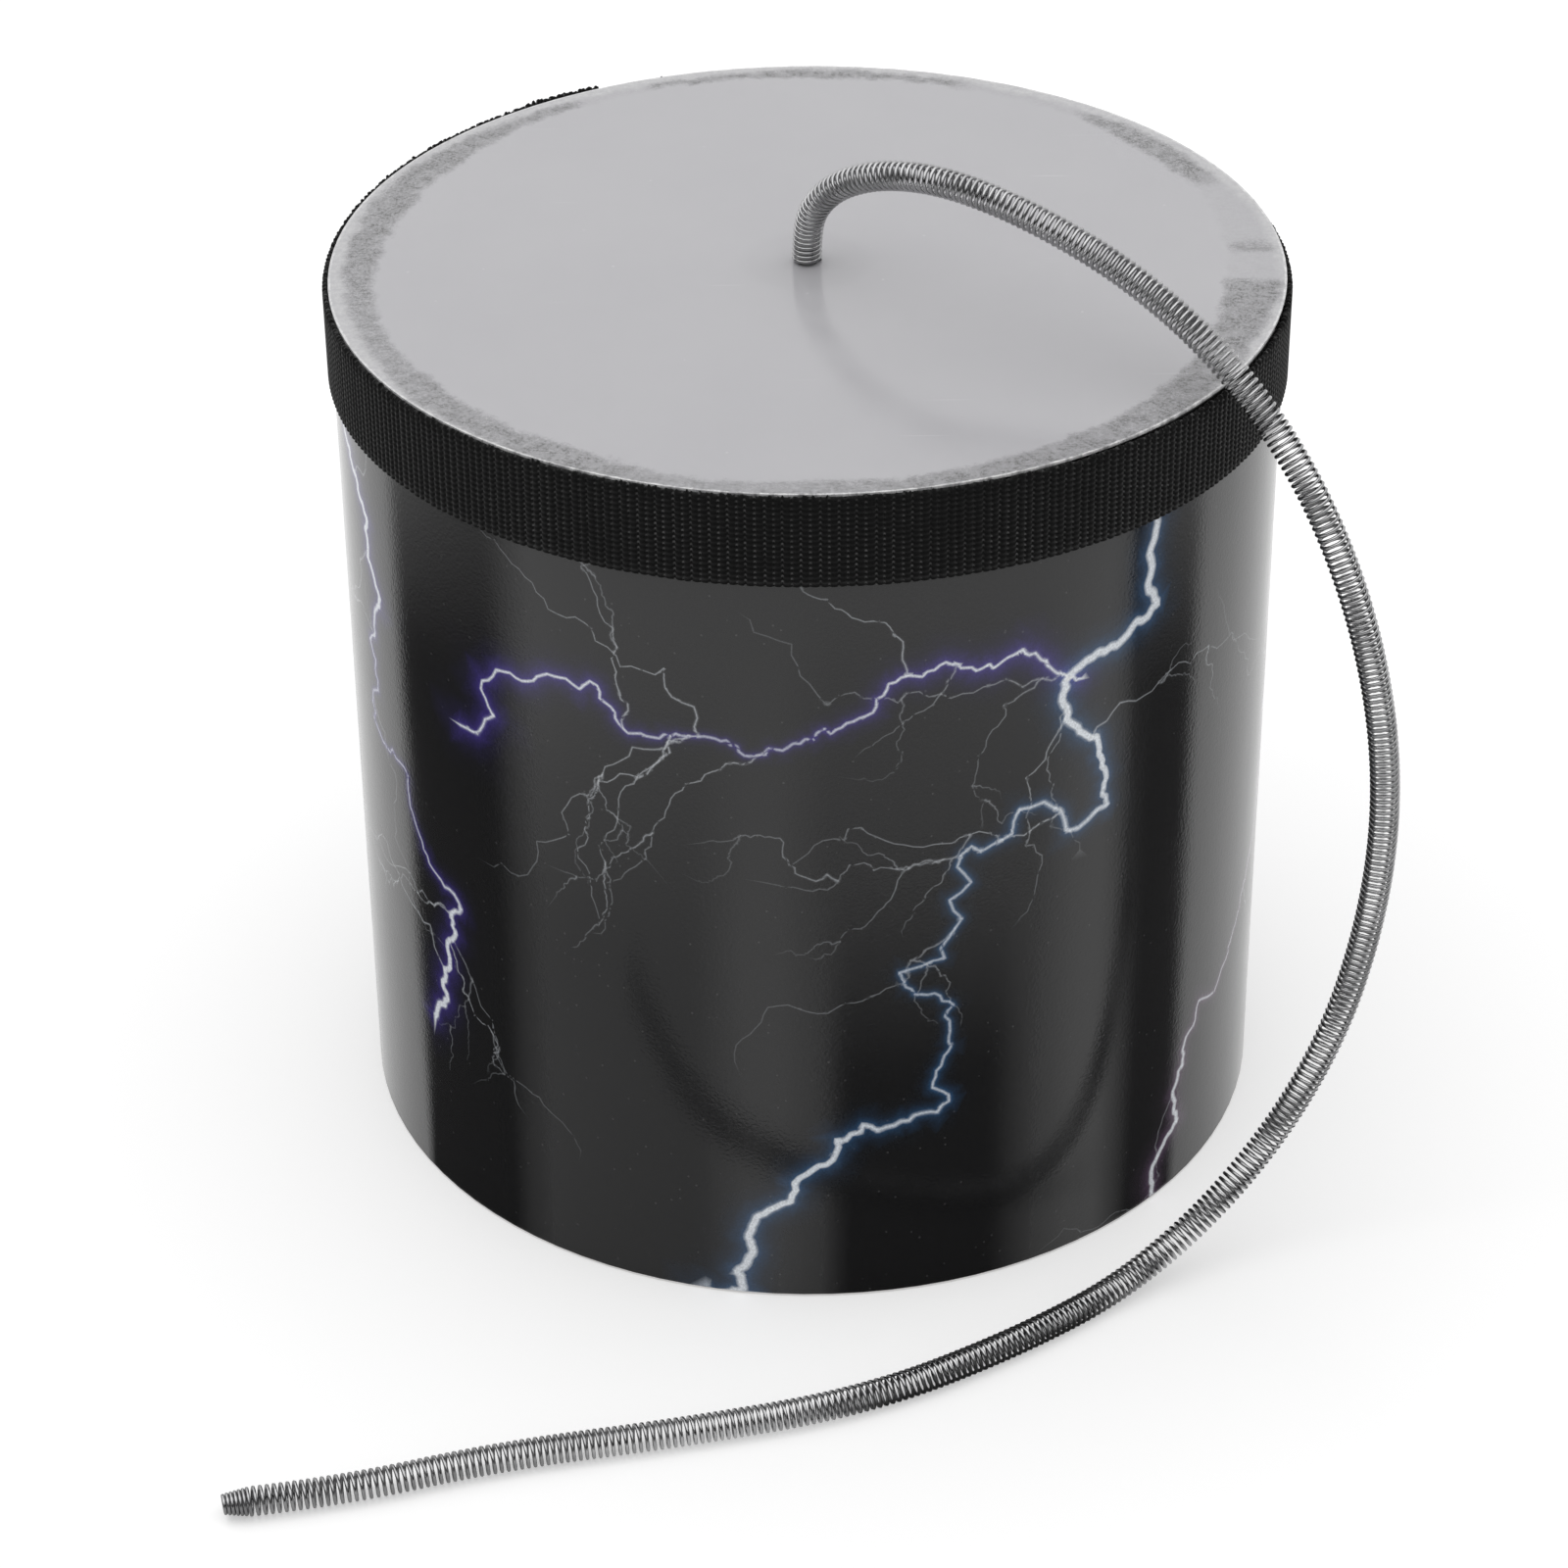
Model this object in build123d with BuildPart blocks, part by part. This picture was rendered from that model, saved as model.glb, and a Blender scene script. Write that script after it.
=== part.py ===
from build123d import *
import os
from math import degrees, pi, radians, sin, sqrt, tan

# A thunder tube: an open card tube in a printed sheet, a drum head of plastic film glued on its rim
# under a ribbon, and a long limp coil spring screwed to the middle of the head.
# Origin at the middle of the tube's open end, which stands on the floor, +Z up. Sizes in millimetres.

# Card tube
tube_diameter = 126.3
tube_wall = 4.5
tube_height = 124.0
rim_break = 0.4

# Printed sheet round the tube, its two ends butted at the back. The glue under it and under the
# ribbon is too thin to be a piece.
glue_line = 0.05
sheet_thickness = 0.3
sheet_lift = 0.4
sheet_seam = 0.4
sheet_seam_angle = 78.0

# Drum head and the ring of glue that holds it to the rim
head_thickness = 0.35
glue_thickness = 0.15
glue_inset = 0.9
film_edge_clearance = 0.05

# Ribbon over the edge of the head, with its free end lapped on its first end at the back
ribbon_width = 12.7
ribbon_thickness = 0.7
ribbon_lap = 9.0
ribbon_ramp = 5.0
ribbon_lap_gap = 0.08
ribbon_end_angle = 117.5

# Fixing in the middle of the head: a pan-head screw, a washer and a felt pad under the film.
# The screw is drawn at the core of its thread.
screw_diameter = 2.5
screw_reach = 3.6
screw_head_diameter = 5.6
screw_head_height = 1.9
screw_head_chamfer = 0.6
screw_tip_chamfer = 0.4
recess_width = 0.8
recess_length = 3.0
recess_depth = 1.0
washer_diameter = 12.0
washer_thickness = 0.8
washer_clearance = 0.2
pad_diameter = 18.0
pad_thickness = 1.0
pad_clearance = 0.3
swivel_clearance = 0.08
swivel_gap = 0.1

# Spring. Its turns are opened out: each one stands for about eight of the real spring's.
spring_diameter = 4.0
wire_diameter = 0.5
wire_sides = 3
spring_lift = 0.25
spring_stem = 4.2
spring_pitch = 7.2
tip_length = 3.5
tip_pitch = 1.0
tip_diameter = 2.8
floor_clearance = 0.1
least_gap = 0.4
arc_share = 0.45
longest_half_turn = 1.5

# Worked-out radii and heights
tube_radius = tube_diameter / 2
bore_radius = tube_radius - tube_wall
sheet_bore = tube_radius + glue_line
sheet_radius = sheet_bore + sheet_thickness
ribbon_bore = sheet_radius + glue_line
film_underside = tube_height + glue_thickness
head_top = film_underside + head_thickness
screw_radius = screw_diameter / 2
pad_underside = film_underside - pad_thickness
washer_top = pad_underside - swivel_gap
washer_underside = washer_top - washer_thickness
screw_bottom = washer_underside - screw_head_height
spring_start = head_top + spring_lift

# The spring's middle line, chosen by eye: straight up from the head, over in an arch that clears the
# rim at the right, down beside the tube, and along the floor in front of it.
floor_line = spring_diameter / 2 + floor_clearance
route_points = [
    (0, 0, spring_start),
    (0, 0, spring_start + spring_stem),
    (1.1, -1.2, 133.4),
    (4.6, -4.4, 138),
    (10.4, -9, 141.4),
    (18.2, -14.6, 142.8),
    (28.5, -21.6, 141.4),
    (41, -30.5, 137.2),
    (53, -40.5, 129.6),
    (63.5, -47.5, 115.5),
    (71, -50, 96),
    (75, -49.5, 74),
    (74.5, -48.5, 52),
    (69.5, -49.5, 30.5),
    (58.5, -54, 12.5),
    (43.5, -63, floor_line),
    (27, -76, floor_line),
    (7, -87.5, floor_line),
    (-16.5, -93.5, floor_line),
    (-40.5, -98, floor_line),
    (-62, -105, floor_line),
    (-75.5, -107, floor_line),
]


def polar(radius, angle):
    """The point at this radius and this angle, in degrees, on the plan."""
    return Vector(radius, 0).rotate(Axis.Z, angle)


def ring_profile(outer_radius, inner_radius):
    """A flat ring, drawn in the sketch that is open."""
    Circle(outer_radius)
    Circle(inner_radius, mode=Mode.SUBTRACT)


# Spiral-wound card tube, open at both ends, with its floor edges broken
with BuildPart() as tube_core:
    with BuildSketch():
        ring_profile(tube_radius, bore_radius)
    extrude(amount=tube_height)
    floor_edges = tube_core.edges().filter_by(GeomType.CIRCLE).group_by(Axis.Z)[0]
    chamfer(floor_edges, length=rim_break)

# Printed sheet, from just above the floor to the underside of the film
with BuildPart() as printed_sheet:
    with BuildSketch(Plane.XY.offset(sheet_lift)):
        ring_profile(sheet_radius, sheet_bore)
        with PolarLocations(sheet_radius, 1, start_angle=sheet_seam_angle):
            Rectangle(4 * sheet_thickness, sheet_seam, mode=Mode.SUBTRACT)
    extrude(amount=tube_height - sheet_lift)

# Glue on the tube's upper rim
with BuildPart() as head_glue:
    with BuildSketch(Plane.XY.offset(tube_height)):
        ring_profile(tube_radius - glue_inset, bore_radius)
    extrude(amount=glue_thickness)

# Drum head of clear-to-milky film, with a hole for the screw
with BuildPart() as drum_head:
    with BuildSketch(Plane.XY.offset(film_underside)):
        ring_profile(sheet_radius - film_edge_clearance, screw_radius + swivel_clearance)
    extrude(amount=head_thickness)

# Ribbon: one strip, wound once round with its last stretch climbing on to its first end
lap_degrees = degrees(ribbon_lap / ribbon_bore)
ramp_degrees = degrees(ribbon_ramp / ribbon_bore)
lap_angle = ribbon_end_angle + lap_degrees
foot_angle = lap_angle + ramp_degrees
under_face = ribbon_bore + ribbon_thickness
over_inside = under_face + ribbon_lap_gap
over_face = over_inside + ribbon_thickness

with BuildPart() as trim_ribbon:
    with BuildSketch(Plane.XY.offset(head_top - ribbon_width)):
        with BuildLine():
            CenterArc((0, 0), ribbon_bore, foot_angle, 360 - ramp_degrees)
            Line(polar(ribbon_bore, lap_angle), polar(under_face, lap_angle))
            CenterArc((0, 0), under_face, foot_angle, 360 - ramp_degrees)
            Line(polar(under_face, foot_angle), polar(over_face, lap_angle))
            CenterArc((0, 0), over_face, ribbon_end_angle, lap_degrees)
            Line(polar(over_face, ribbon_end_angle), polar(over_inside, ribbon_end_angle))
            CenterArc((0, 0), over_inside, ribbon_end_angle, lap_degrees)
            Line(polar(over_inside, lap_angle), polar(ribbon_bore, foot_angle))
        make_face()
    extrude(amount=ribbon_width)

# Felt pad stuck to the underside of the film
with BuildPart() as anchor_pad:
    with BuildSketch(Plane.XY.offset(pad_underside)):
        ring_profile(pad_diameter / 2, screw_radius + pad_clearance)
    extrude(amount=pad_thickness)

# Washer under the pad
with BuildPart() as anchor_washer:
    with BuildSketch(Plane.XY.offset(washer_underside)):
        ring_profile(washer_diameter / 2, screw_radius + washer_clearance)
    extrude(amount=washer_thickness)

# Pan-head screw, up through the washer, the pad and the film into the spring's first turns
with BuildPart() as anchor_screw:
    with BuildSketch(Plane.XY.offset(screw_bottom)):
        Circle(screw_head_diameter / 2)
    extrude(amount=screw_head_height)
    chamfer(anchor_screw.edges().group_by(Axis.Z)[0], length=screw_head_chamfer)
    with BuildSketch(Plane.XY.offset(washer_underside)):
        Circle(screw_radius)
    extrude(amount=head_top + screw_reach - washer_underside)
    chamfer(anchor_screw.edges().group_by(Axis.Z)[-1], length=screw_tip_chamfer)
    with BuildSketch(Plane.XY.offset(screw_bottom)):
        Rectangle(recess_length, recess_width)
        Rectangle(recess_width, recess_length)
    extrude(amount=recess_depth, mode=Mode.SUBTRACT)

# Middle line of the spring: straight runs joined by arcs as large as the runs allow
corners = [Vector(*point) for point in route_points]
runs = [end - start for start, end in zip(corners, corners[1:])]
arc_radii = []
for run, next_run in zip(runs, runs[1:]):
    half_turn = radians(run.get_angle(next_run)) / 2
    arc_radii.append(arc_share * min(run.length, next_run.length) / tan(half_turn))
with BuildLine() as spring_route:
    FilletPolyline(*corners, radius=arc_radii)
middle_line = spring_route.wire()
spring_length = middle_line.length
print("arc radii along the spring:", [round(radius, 1) for radius in arc_radii])
print("spring length:", round(spring_length, 1))

coil_radius = (spring_diameter - wire_diameter) / 2
tip_radius = (tip_diameter - wire_diameter) / 2
tip_start = spring_length - tip_length


def pitch_at(distance):
    """Rise of one turn: the same all along, and less at the tip."""
    return tip_pitch if distance > tip_start - tip_pitch else spring_pitch


def radius_at(distance):
    """Radius of the wire's middle line, drawn in along the tip."""
    share = max(0, (distance - tip_start) / tip_length)
    return coil_radius + (tip_radius - coil_radius) * share


def half_turn_rise(distance):
    """Rise of the half turn that starts here, fitted so that one ends where the tip begins."""
    rise = pitch_at(distance) / 2
    room = tip_start - distance
    return room if tip_pitch < room < longest_half_turn * rise else rise


def coil_knots():
    """Points of the wire and its directions there, a half turn apart, up to the end of the spring."""
    outward = Vector(1, 0, 0)
    distance = wire_diameter
    axis = middle_line.tangent_at(0)
    knots = [(middle_line.position_at(distance / spring_length) + outward * coil_radius, axis)]
    outward = axis.cross(outward)
    step = pitch_at(distance) / 4
    while distance + step <= spring_length:
        distance += step
        axis = middle_line.tangent_at(distance / spring_length)
        outward = (outward - axis * outward.dot(axis)).normalized()
        radius = radius_at(distance)
        forward = axis * pitch_at(distance) + axis.cross(outward) * (2 * pi * radius)
        centre = middle_line.position_at(distance / spring_length)
        knots.append((centre + outward * radius, forward.normalized()))
        outward = outward * -1
        step = half_turn_rise(distance)
    return knots


def biarc_joint(start, start_direction, end, end_direction):
    """Where the two arcs between these ends meet, and their direction there."""
    chord = end - start
    both = start_direction + end_direction
    bend = 2 * (1 - start_direction.dot(end_direction))
    along = chord.dot(both)
    reach = (sqrt(along * along + bend * chord.dot(chord)) - along) / bend
    near = start + start_direction * reach
    far = end - end_direction * reach
    return (near + far) * 0.5, (far - near).normalized()


# Spring: one wire, drawn with a few flat sides within the round one's section, its start standing
# straight up off the head
knots = coil_knots()
wire_start = knots[0][0] - knots[0][1] * wire_diameter
wire_area = wire_sides * sin(2 * pi / wire_sides) * wire_diameter ** 2 / 8

with BuildLine() as wire_line:
    Line(wire_start, knots[0][0])
    for (start, leaving), (end, arriving) in zip(knots, knots[1:]):
        joint, direction = biarc_joint(start, leaving, end, arriving)
        TangentArc(start, joint, tangent=leaving)
        TangentArc(joint, end, tangent=direction)
wire = wire_line.wire()

with BuildPart() as spring:
    with BuildSketch(Plane(origin=wire_start, x_dir=(1, 0, 0), z_dir=knots[0][1])):
        RegularPolygon(wire_diameter / 2, wire_sides)
    sweep(path=wire, clean=False)


def gap_to_itself(samples_per_turn=24):
    """Least room between one turn of the wire and another, on points along its middle line."""
    count = len(knots) * samples_per_turn // 2
    points = [wire.position_at(index / count) for index in range(count + 1)]
    nearest = spring_diameter
    for index, point in enumerate(points):
        for other in points[index + samples_per_turn // 2:index + 3 * samples_per_turn]:
            nearest = min(nearest, (other - point).length)
    return nearest - wire_diameter


wire_gap = gap_to_itself()
print("turns of the spring:", round(len(knots) / 2, 1))
print("spring volume over section times length:", round(spring.part.volume / (wire_area * wire.length), 4))
print("least gap between turns:", round(wire_gap, 2), "over", least_gap, wire_gap > least_gap)

pieces = {
    "tube_core": tube_core,
    "printed_sheet": printed_sheet,
    "head_glue": head_glue,
    "drum_head": drum_head,
    "trim_ribbon": trim_ribbon,
    "anchor_pad": anchor_pad,
    "anchor_washer": anchor_washer,
    "anchor_screw": anchor_screw,
    "spring": spring,
}
os.makedirs("parts", exist_ok=True)
for name, piece in pieces.items():
    piece.part.label = name
    export_step(piece.part, f"parts/{name}.step")
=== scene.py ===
import math
import random

import bpy
import numpy as np
from mathutils import Matrix, Vector
from mathutils.geometry import delaunay_2d_cdt


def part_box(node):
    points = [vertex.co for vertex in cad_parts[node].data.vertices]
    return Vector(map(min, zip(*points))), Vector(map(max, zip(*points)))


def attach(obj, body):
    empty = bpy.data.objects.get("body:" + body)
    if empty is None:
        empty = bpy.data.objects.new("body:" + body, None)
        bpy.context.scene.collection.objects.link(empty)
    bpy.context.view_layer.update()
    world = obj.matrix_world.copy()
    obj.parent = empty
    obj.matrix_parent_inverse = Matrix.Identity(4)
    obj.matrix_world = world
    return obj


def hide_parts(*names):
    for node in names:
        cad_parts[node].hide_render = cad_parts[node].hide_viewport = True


# A thunder tube: a card tube in a glossy printed sheet, a milky film head with a ribbon round its
# edge, and a long limp spring that leaves the middle of the head. Metres, +Z up, tube on the floor.
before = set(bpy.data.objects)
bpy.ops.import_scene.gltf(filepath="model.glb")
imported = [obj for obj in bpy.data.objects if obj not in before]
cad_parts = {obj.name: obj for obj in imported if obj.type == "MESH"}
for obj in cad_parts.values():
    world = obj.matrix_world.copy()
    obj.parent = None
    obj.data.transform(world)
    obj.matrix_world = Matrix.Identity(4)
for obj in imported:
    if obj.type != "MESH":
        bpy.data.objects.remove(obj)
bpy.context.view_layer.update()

MM = 0.001
FULL_TURN = 2 * math.pi
TINY = 1e-9

# Heights and radii that the pieces share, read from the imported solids
SHEET_LOW, SHEET_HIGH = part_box("printed_sheet")
SHEET_RADIUS = SHEET_HIGH.x
HEAD_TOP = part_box("drum_head")[1].z
RIBBON_OUTER = -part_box("trim_ribbon")[0].y

# Camera, fitted to the outlines of the head, the ribbon and the foot in the photograph
CAMERA_PLACE = (0.0, -0.54135, 0.39147)
CAMERA_PITCH = 32.849
CAMERA_YAW = -0.397
CAMERA_ROLL = -0.570
CAMERA_LENS = 103.69
CAMERA_SENSOR = 36
CAMERA_NEAR = 0.01


def cos_sin(degrees):
    """Cosine and sine of an angle."""
    return math.cos(math.radians(degrees)), math.sin(math.radians(degrees))


# Nodes of a material

# Range of nearly all values of a noise texture
NOISE_RANGE = (0.3, 0.7)

# Where a colour mix node has its share and its two colours, and where its result
MIX_INPUTS = (0, 6, 7)
MIX_OUTPUT = 2


def grey(value):
    """A colour without hue."""
    return (value, value, value)


def feed(tree, socket, value):
    """Sets a socket to a value, or links another node's output to it."""
    if isinstance(value, bpy.types.NodeSocket):
        tree.links.new(value, socket)
    else:
        socket.default_value = value


def node(tree, kind, **inputs):
    """A new shader node. Each input is a value to set, or another node's output to link."""
    made = tree.nodes.new("ShaderNode" + kind)
    for name, value in inputs.items():
        feed(tree, made.inputs[name.replace("_", " ")], value)
    return made


def vector_maths(tree, operation, *values, kind="VectorMath"):
    """A vector math node on vectors or other outputs, or one of a like kind."""
    made = node(tree, kind)
    made.operation = operation
    for socket, value in zip(made.inputs, values):
        feed(tree, socket, value)
    return made


def maths(tree, operation, *values):
    """Output of a math node on numbers or other outputs."""
    return vector_maths(tree, operation, *values, kind="Math").outputs[0]


def spread(tree, value, low, high, to_low=0.0, to_high=1.0, smooth=False):
    """Output of a map range node, clamped: low becomes to_low, and high becomes to_high."""
    made = node(tree, "MapRange", Value=value)
    made.interpolation_type = "SMOOTHSTEP" if smooth else "LINEAR"
    for index, number in enumerate((low, high, to_low, to_high), 1):
        made.inputs[index].default_value = number
    return made.outputs["Result"]


def mixed(tree, share, first, second):
    """Output of a colour mix node: first where share is 0, second where it is 1."""
    made = node(tree, "Mix")
    made.data_type = "RGBA"
    for index, value in zip(MIX_INPUTS, (share, first, second)):
        feed(tree, made.inputs[index], (*value, 1) if isinstance(value, tuple) else value)
    return made.outputs[MIX_OUTPUT]


def noise(tree, vector, scale, detail=3.0, roughness=0.55):
    """Factor output of a noise texture. scale is in features per metre."""
    made = node(tree, "TexNoise", Vector=vector, Scale=scale, Detail=detail, Roughness=roughness)
    return made.outputs["Fac"]


def textured(tree, vector, pattern, ends, smooth=False):
    """A noise, by its pattern, spread from one pair of ends to the other."""
    return spread(tree, noise(tree, vector, *pattern), *ends, smooth=smooth)


def bumped(tree, height, distance, under=None):
    """Normal output of a bump node whose height of 1 stands distance metres up."""
    made = node(tree, "Bump", Height=height, Distance=distance)
    if under is not None:
        tree.links.new(under, made.inputs["Normal"])
    return made.outputs["Normal"]


def attribute(tree, name):
    """Outputs of a node that reads what is kept at the points of a mesh."""
    made = node(tree, "Attribute")
    made.attribute_name = name
    return made.outputs


def connect(tree, shader, **outputs):
    """Links other nodes' outputs to inputs of a shader."""
    for name, output in outputs.items():
        tree.links.new(output, shader.inputs[name.replace("_", " ")])


def new_material(name, **shader_inputs):
    """A material with one Principled shader, and what its nodes are built from."""
    material = bpy.data.materials.new(name)
    material.use_nodes = True
    tree = material.node_tree
    shader = tree.nodes["Principled BSDF"]
    for key, value in shader_inputs.items():
        shader.inputs[key.replace("_", " ")].default_value = value
    place = node(tree, "TexCoord").outputs["Object"]
    return material, tree, shader, place


# Materials. A pattern is a noise: features per metre, detail and, where it isn't the usual one, roughness.
# It stands alone, or with its ends: two numbers that become 0 and 1, or else what the last two say.

METAL_RANGE = (0.35, 0.7)


def mottled(name, pattern, tones, grain, relief, ends=NOISE_RANGE, rough=None, **inputs):
    """A material of two tones, mottled by one pattern and with the relief of another."""
    material, tree, shader, place = new_material(name, **inputs)
    mottle = noise(tree, place, *pattern)
    connect(tree, shader,
            Base_Color=mixed(tree, spread(tree, mottle, *ends), *tones),
            Normal=bumped(tree, noise(tree, place, *grain), relief))
    if rough:
        connect(tree, shader, Roughness=spread(tree, mottle, *NOISE_RANGE, *rough))
    return material


def wire_steel():
    """Bright drawn steel wire, with a little tarnish."""
    return mottled("wire_steel", pattern=(260, 3), tones=((0.42, 0.42, 0.425), (0.30, 0.30, 0.305)),
                   ends=METAL_RANGE, rough=(0.22, 0.34), grain=(9000, 2), relief=0.002 * MM, Metallic=1.0)


def zinc_steel():
    """Zinc-plated washer and screw: dull bright metal with a mottled bloom."""
    return mottled("zinc_steel", pattern=(900, 5), tones=((0.62, 0.62, 0.60), (0.47, 0.48, 0.49)),
                   ends=METAL_RANGE, rough=(0.28, 0.5), grain=(5000, 2), relief=0.005 * MM, Metallic=1.0)


def dry_glue():
    """Cloudy dried glue."""
    return mottled("dry_glue", pattern=(700, 4), tones=((0.50, 0.46, 0.38), (0.62, 0.59, 0.52)),
                   rough=(0.3, 0.5), grain=(700, 4), relief=0.05 * MM)


def grey_felt():
    """Felt pad: matted fibres."""
    return mottled("grey_felt", pattern=(2500, 6, 0.75), tones=(grey(0.09), grey(0.20)),
                   grain=(2500, 6, 0.75), relief=0.12 * MM, Roughness=0.95, Sheen_Weight=0.3)


# Dust: where a speck fades out in its cell, and how sharply the cells that have one are picked
MOTE_FADE = (0.10, 0.16)
MOTE_PICK = 0.02


def motes(tree, place, scale, rarity, strength):
    """Specks of dust on a surface: cells per metre, the share of cells without one, how much it covers."""
    cells = node(tree, "TexVoronoi", Vector=place, Scale=scale).outputs
    lot = node(tree, "SeparateColor", Color=cells["Color"]).outputs[0]
    few = spread(tree, lot, rarity, rarity + MOTE_PICK)
    return maths(tree, "MULTIPLY", spread(tree, cells["Distance"], *MOTE_FADE, strength, 0), few)


# Glue under the edge of the film: radius and fade of its inner and outer edge, how much further in it
# reaches at the two sides, and how much further out in front
GLUE_INNER = (59.9 * MM, 0.8 * MM)
GLUE_OUTER = (61.8 * MM, 0.9 * MM)
GLUE_SIDES = 3.0 * MM
GLUE_FRONT = 2.4 * MM
RIGHT_SIDE = 0
FRONT_SIDE = 270
FRONT_RANGE = (0.35, 0.95)

# A broad and a fine pattern by which its edges wander, and how far each moves the inner and the outer edge
GLUE_WANDER = ((26, 2), (230, 6, 0.75))
INNER_WANDER = (6.0 * MM, 4.5 * MM)
OUTER_WANDER = (-4.0 * MM, 4.0 * MM)
NOISE_MIDDLE = 0.5

# Stretches with hardly any glue: directions and half widths in degrees, half widths out at which they have
# faded, and the share of glue left in them
GLUE_GAPS = [(59, 7), (117, 4), (14, 7), (358, 3)]
GAP_FADE = 1.7
GAP_GLUE = 0.12

# Patches of thinner glue: pattern, ends that take it from least to full, and whether it does so smoothly
GLUE_PATCHES = [
    ((22, 2), (0.34, 0.52, 0.75, 1), True),
    ((1900, 4, 0.85), (0.43, 0.55, 0.35, 1), False),
    ((480, 4, 0.7), (0.40, 0.58, 0.55, 1), False),
]


def towards(tree, flat, degrees):
    """Cosine of the angle between a place on the head, seen from its middle, and a direction."""
    unit = vector_maths(tree, "NORMALIZE", flat).outputs[0]
    return vector_maths(tree, "DOT_PRODUCT", unit, (*cos_sin(degrees), 0)).outputs["Value"]


def glue_edge(tree, radius, middle, fade, moves):
    """0 inside an edge of the glue and 1 outside it. Each move is an output, and how far in it goes."""
    for output, reach in moves:
        radius = maths(tree, "MULTIPLY_ADD", output, reach, radius)
    return spread(tree, radius, middle - fade, middle + fade, smooth=True)


def thinned(tree, flat, glue):
    """The glue, nearly missing along some stretches and thinner in patches."""
    for degrees, half in GLUE_GAPS:
        near = cos_sin(half)[0]
        far = cos_sin(GAP_FADE * half)[0]
        bare = spread(tree, towards(tree, flat, degrees), far, near, 1, GAP_GLUE, smooth=True)
        glue = maths(tree, "MULTIPLY", glue, bare)
    for patch in GLUE_PATCHES:
        glue = maths(tree, "MULTIPLY", glue, textured(tree, flat, *patch))
    return glue


def glue_ring(tree, flat, radius):
    """How thick the glue under the film is, and how bare the film's margin outside it is."""
    wander = [maths(tree, "SUBTRACT", noise(tree, flat, *pattern), NOISE_MIDDLE) for pattern in GLUE_WANDER]
    sideways = towards(tree, flat, RIGHT_SIDE)
    sideways = maths(tree, "MULTIPLY", sideways, sideways)
    frontward = spread(tree, towards(tree, flat, FRONT_SIDE), *FRONT_RANGE, smooth=True)
    inside = glue_edge(tree, radius, *GLUE_INNER, [(sideways, GLUE_SIDES), *zip(wander, INNER_WANDER)])
    margin = glue_edge(tree, radius, *GLUE_OUTER, [(frontward, -GLUE_FRONT), *zip(wander, OUTER_WANDER)])
    glue = maths(tree, "MULTIPLY", inside, maths(tree, "SUBTRACT", 1.0, margin))
    return thinned(tree, flat, glue), margin


# Film: its two milky tones, and its colour where its margin is bare, over glue and along its cut edge
MILK_CLOUD = ((30, 3), NOISE_RANGE)
MILK_TONES = ((0.428, 0.423, 0.443), (0.446, 0.441, 0.459))
MARGIN_STREAK = ((900, 5, 0.8), (0.35, 0.70))
MARGIN_PALE = grey(0.56)
GLUE_DARK = grey(0.11)
CUT_RAG = (1100, 4, 0.7)
CUT_RAG_DEPTH = 0.6 * MM
CUT_RADII = (63.38 * MM, 63.50 * MM)
CUT_CHIPS = ((420, 4, 0.8), (0.42, 0.60, 0.10, 1))
CUT_PALE = grey(0.74)

# Marks on the film: the disc of pad that shows faintly round the spring, scratches and dust
PAD_RADII = (7.2 * MM, 9.8 * MM)
PAD_SHARE = 0.04
PAD_DARK = grey(0.2)
SCRATCH_TURNS = (0.12, -0.55)
SCRATCH_SHAPE = (1, 28, 1)
SCRATCHES = ((42, 1), (0.76, 0.82, 0, 0.30))
SCRATCH_PALE = grey(0.75)
FILM_DUST = (700, 0.985, 0.30)
FILM_DUST_PALE = grey(0.85)

# Gloss of the film, rubbed, a little duller over the glue, with a slow wave and a fine grain
FILM_RUB = ((160, 4), (*NOISE_RANGE, 0.15, 0.20))
GLUE_ROUGHNESS = 0.20
FILM_WAVE = (45, 2)
FILM_GRAIN = (2600, 3)
FILM_GRAIN_HEIGHT = 0.001 * MM
WAVE_HEIGHT = 0.03 * MM


def film_colour(tree, flat, radius, glue, margin):
    """Milky film, paler where no glue is under its margin, and white along its chipped cut edge."""
    colour = mixed(tree, textured(tree, flat, *MILK_CLOUD), *MILK_TONES)
    pale = maths(tree, "MULTIPLY", margin, textured(tree, flat, *MARGIN_STREAK))
    colour = mixed(tree, pale, colour, MARGIN_PALE)
    colour = mixed(tree, glue, colour, GLUE_DARK)
    ragged = maths(tree, "MULTIPLY_ADD", noise(tree, flat, *CUT_RAG), CUT_RAG_DEPTH, radius)
    chips = textured(tree, flat, *CUT_CHIPS)
    cut = maths(tree, "MULTIPLY", spread(tree, ragged, *CUT_RADII), chips)
    return mixed(tree, cut, colour, CUT_PALE)


def film_marks(tree, flat, radius, colour):
    """The film's colour with the pad under it, a few scratches, and dust."""
    pad = spread(tree, radius, *PAD_RADII, PAD_SHARE, 0, smooth=True)
    colour = mixed(tree, pad, colour, PAD_DARK)
    for turn in SCRATCH_TURNS:
        laid = node(tree, "Mapping", Vector=flat, Rotation=(0, 0, turn), Scale=SCRATCH_SHAPE).outputs[0]
        colour = mixed(tree, textured(tree, laid, *SCRATCHES), colour, SCRATCH_PALE)
    return mixed(tree, motes(tree, flat, *FILM_DUST), colour, FILM_DUST_PALE)


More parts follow.
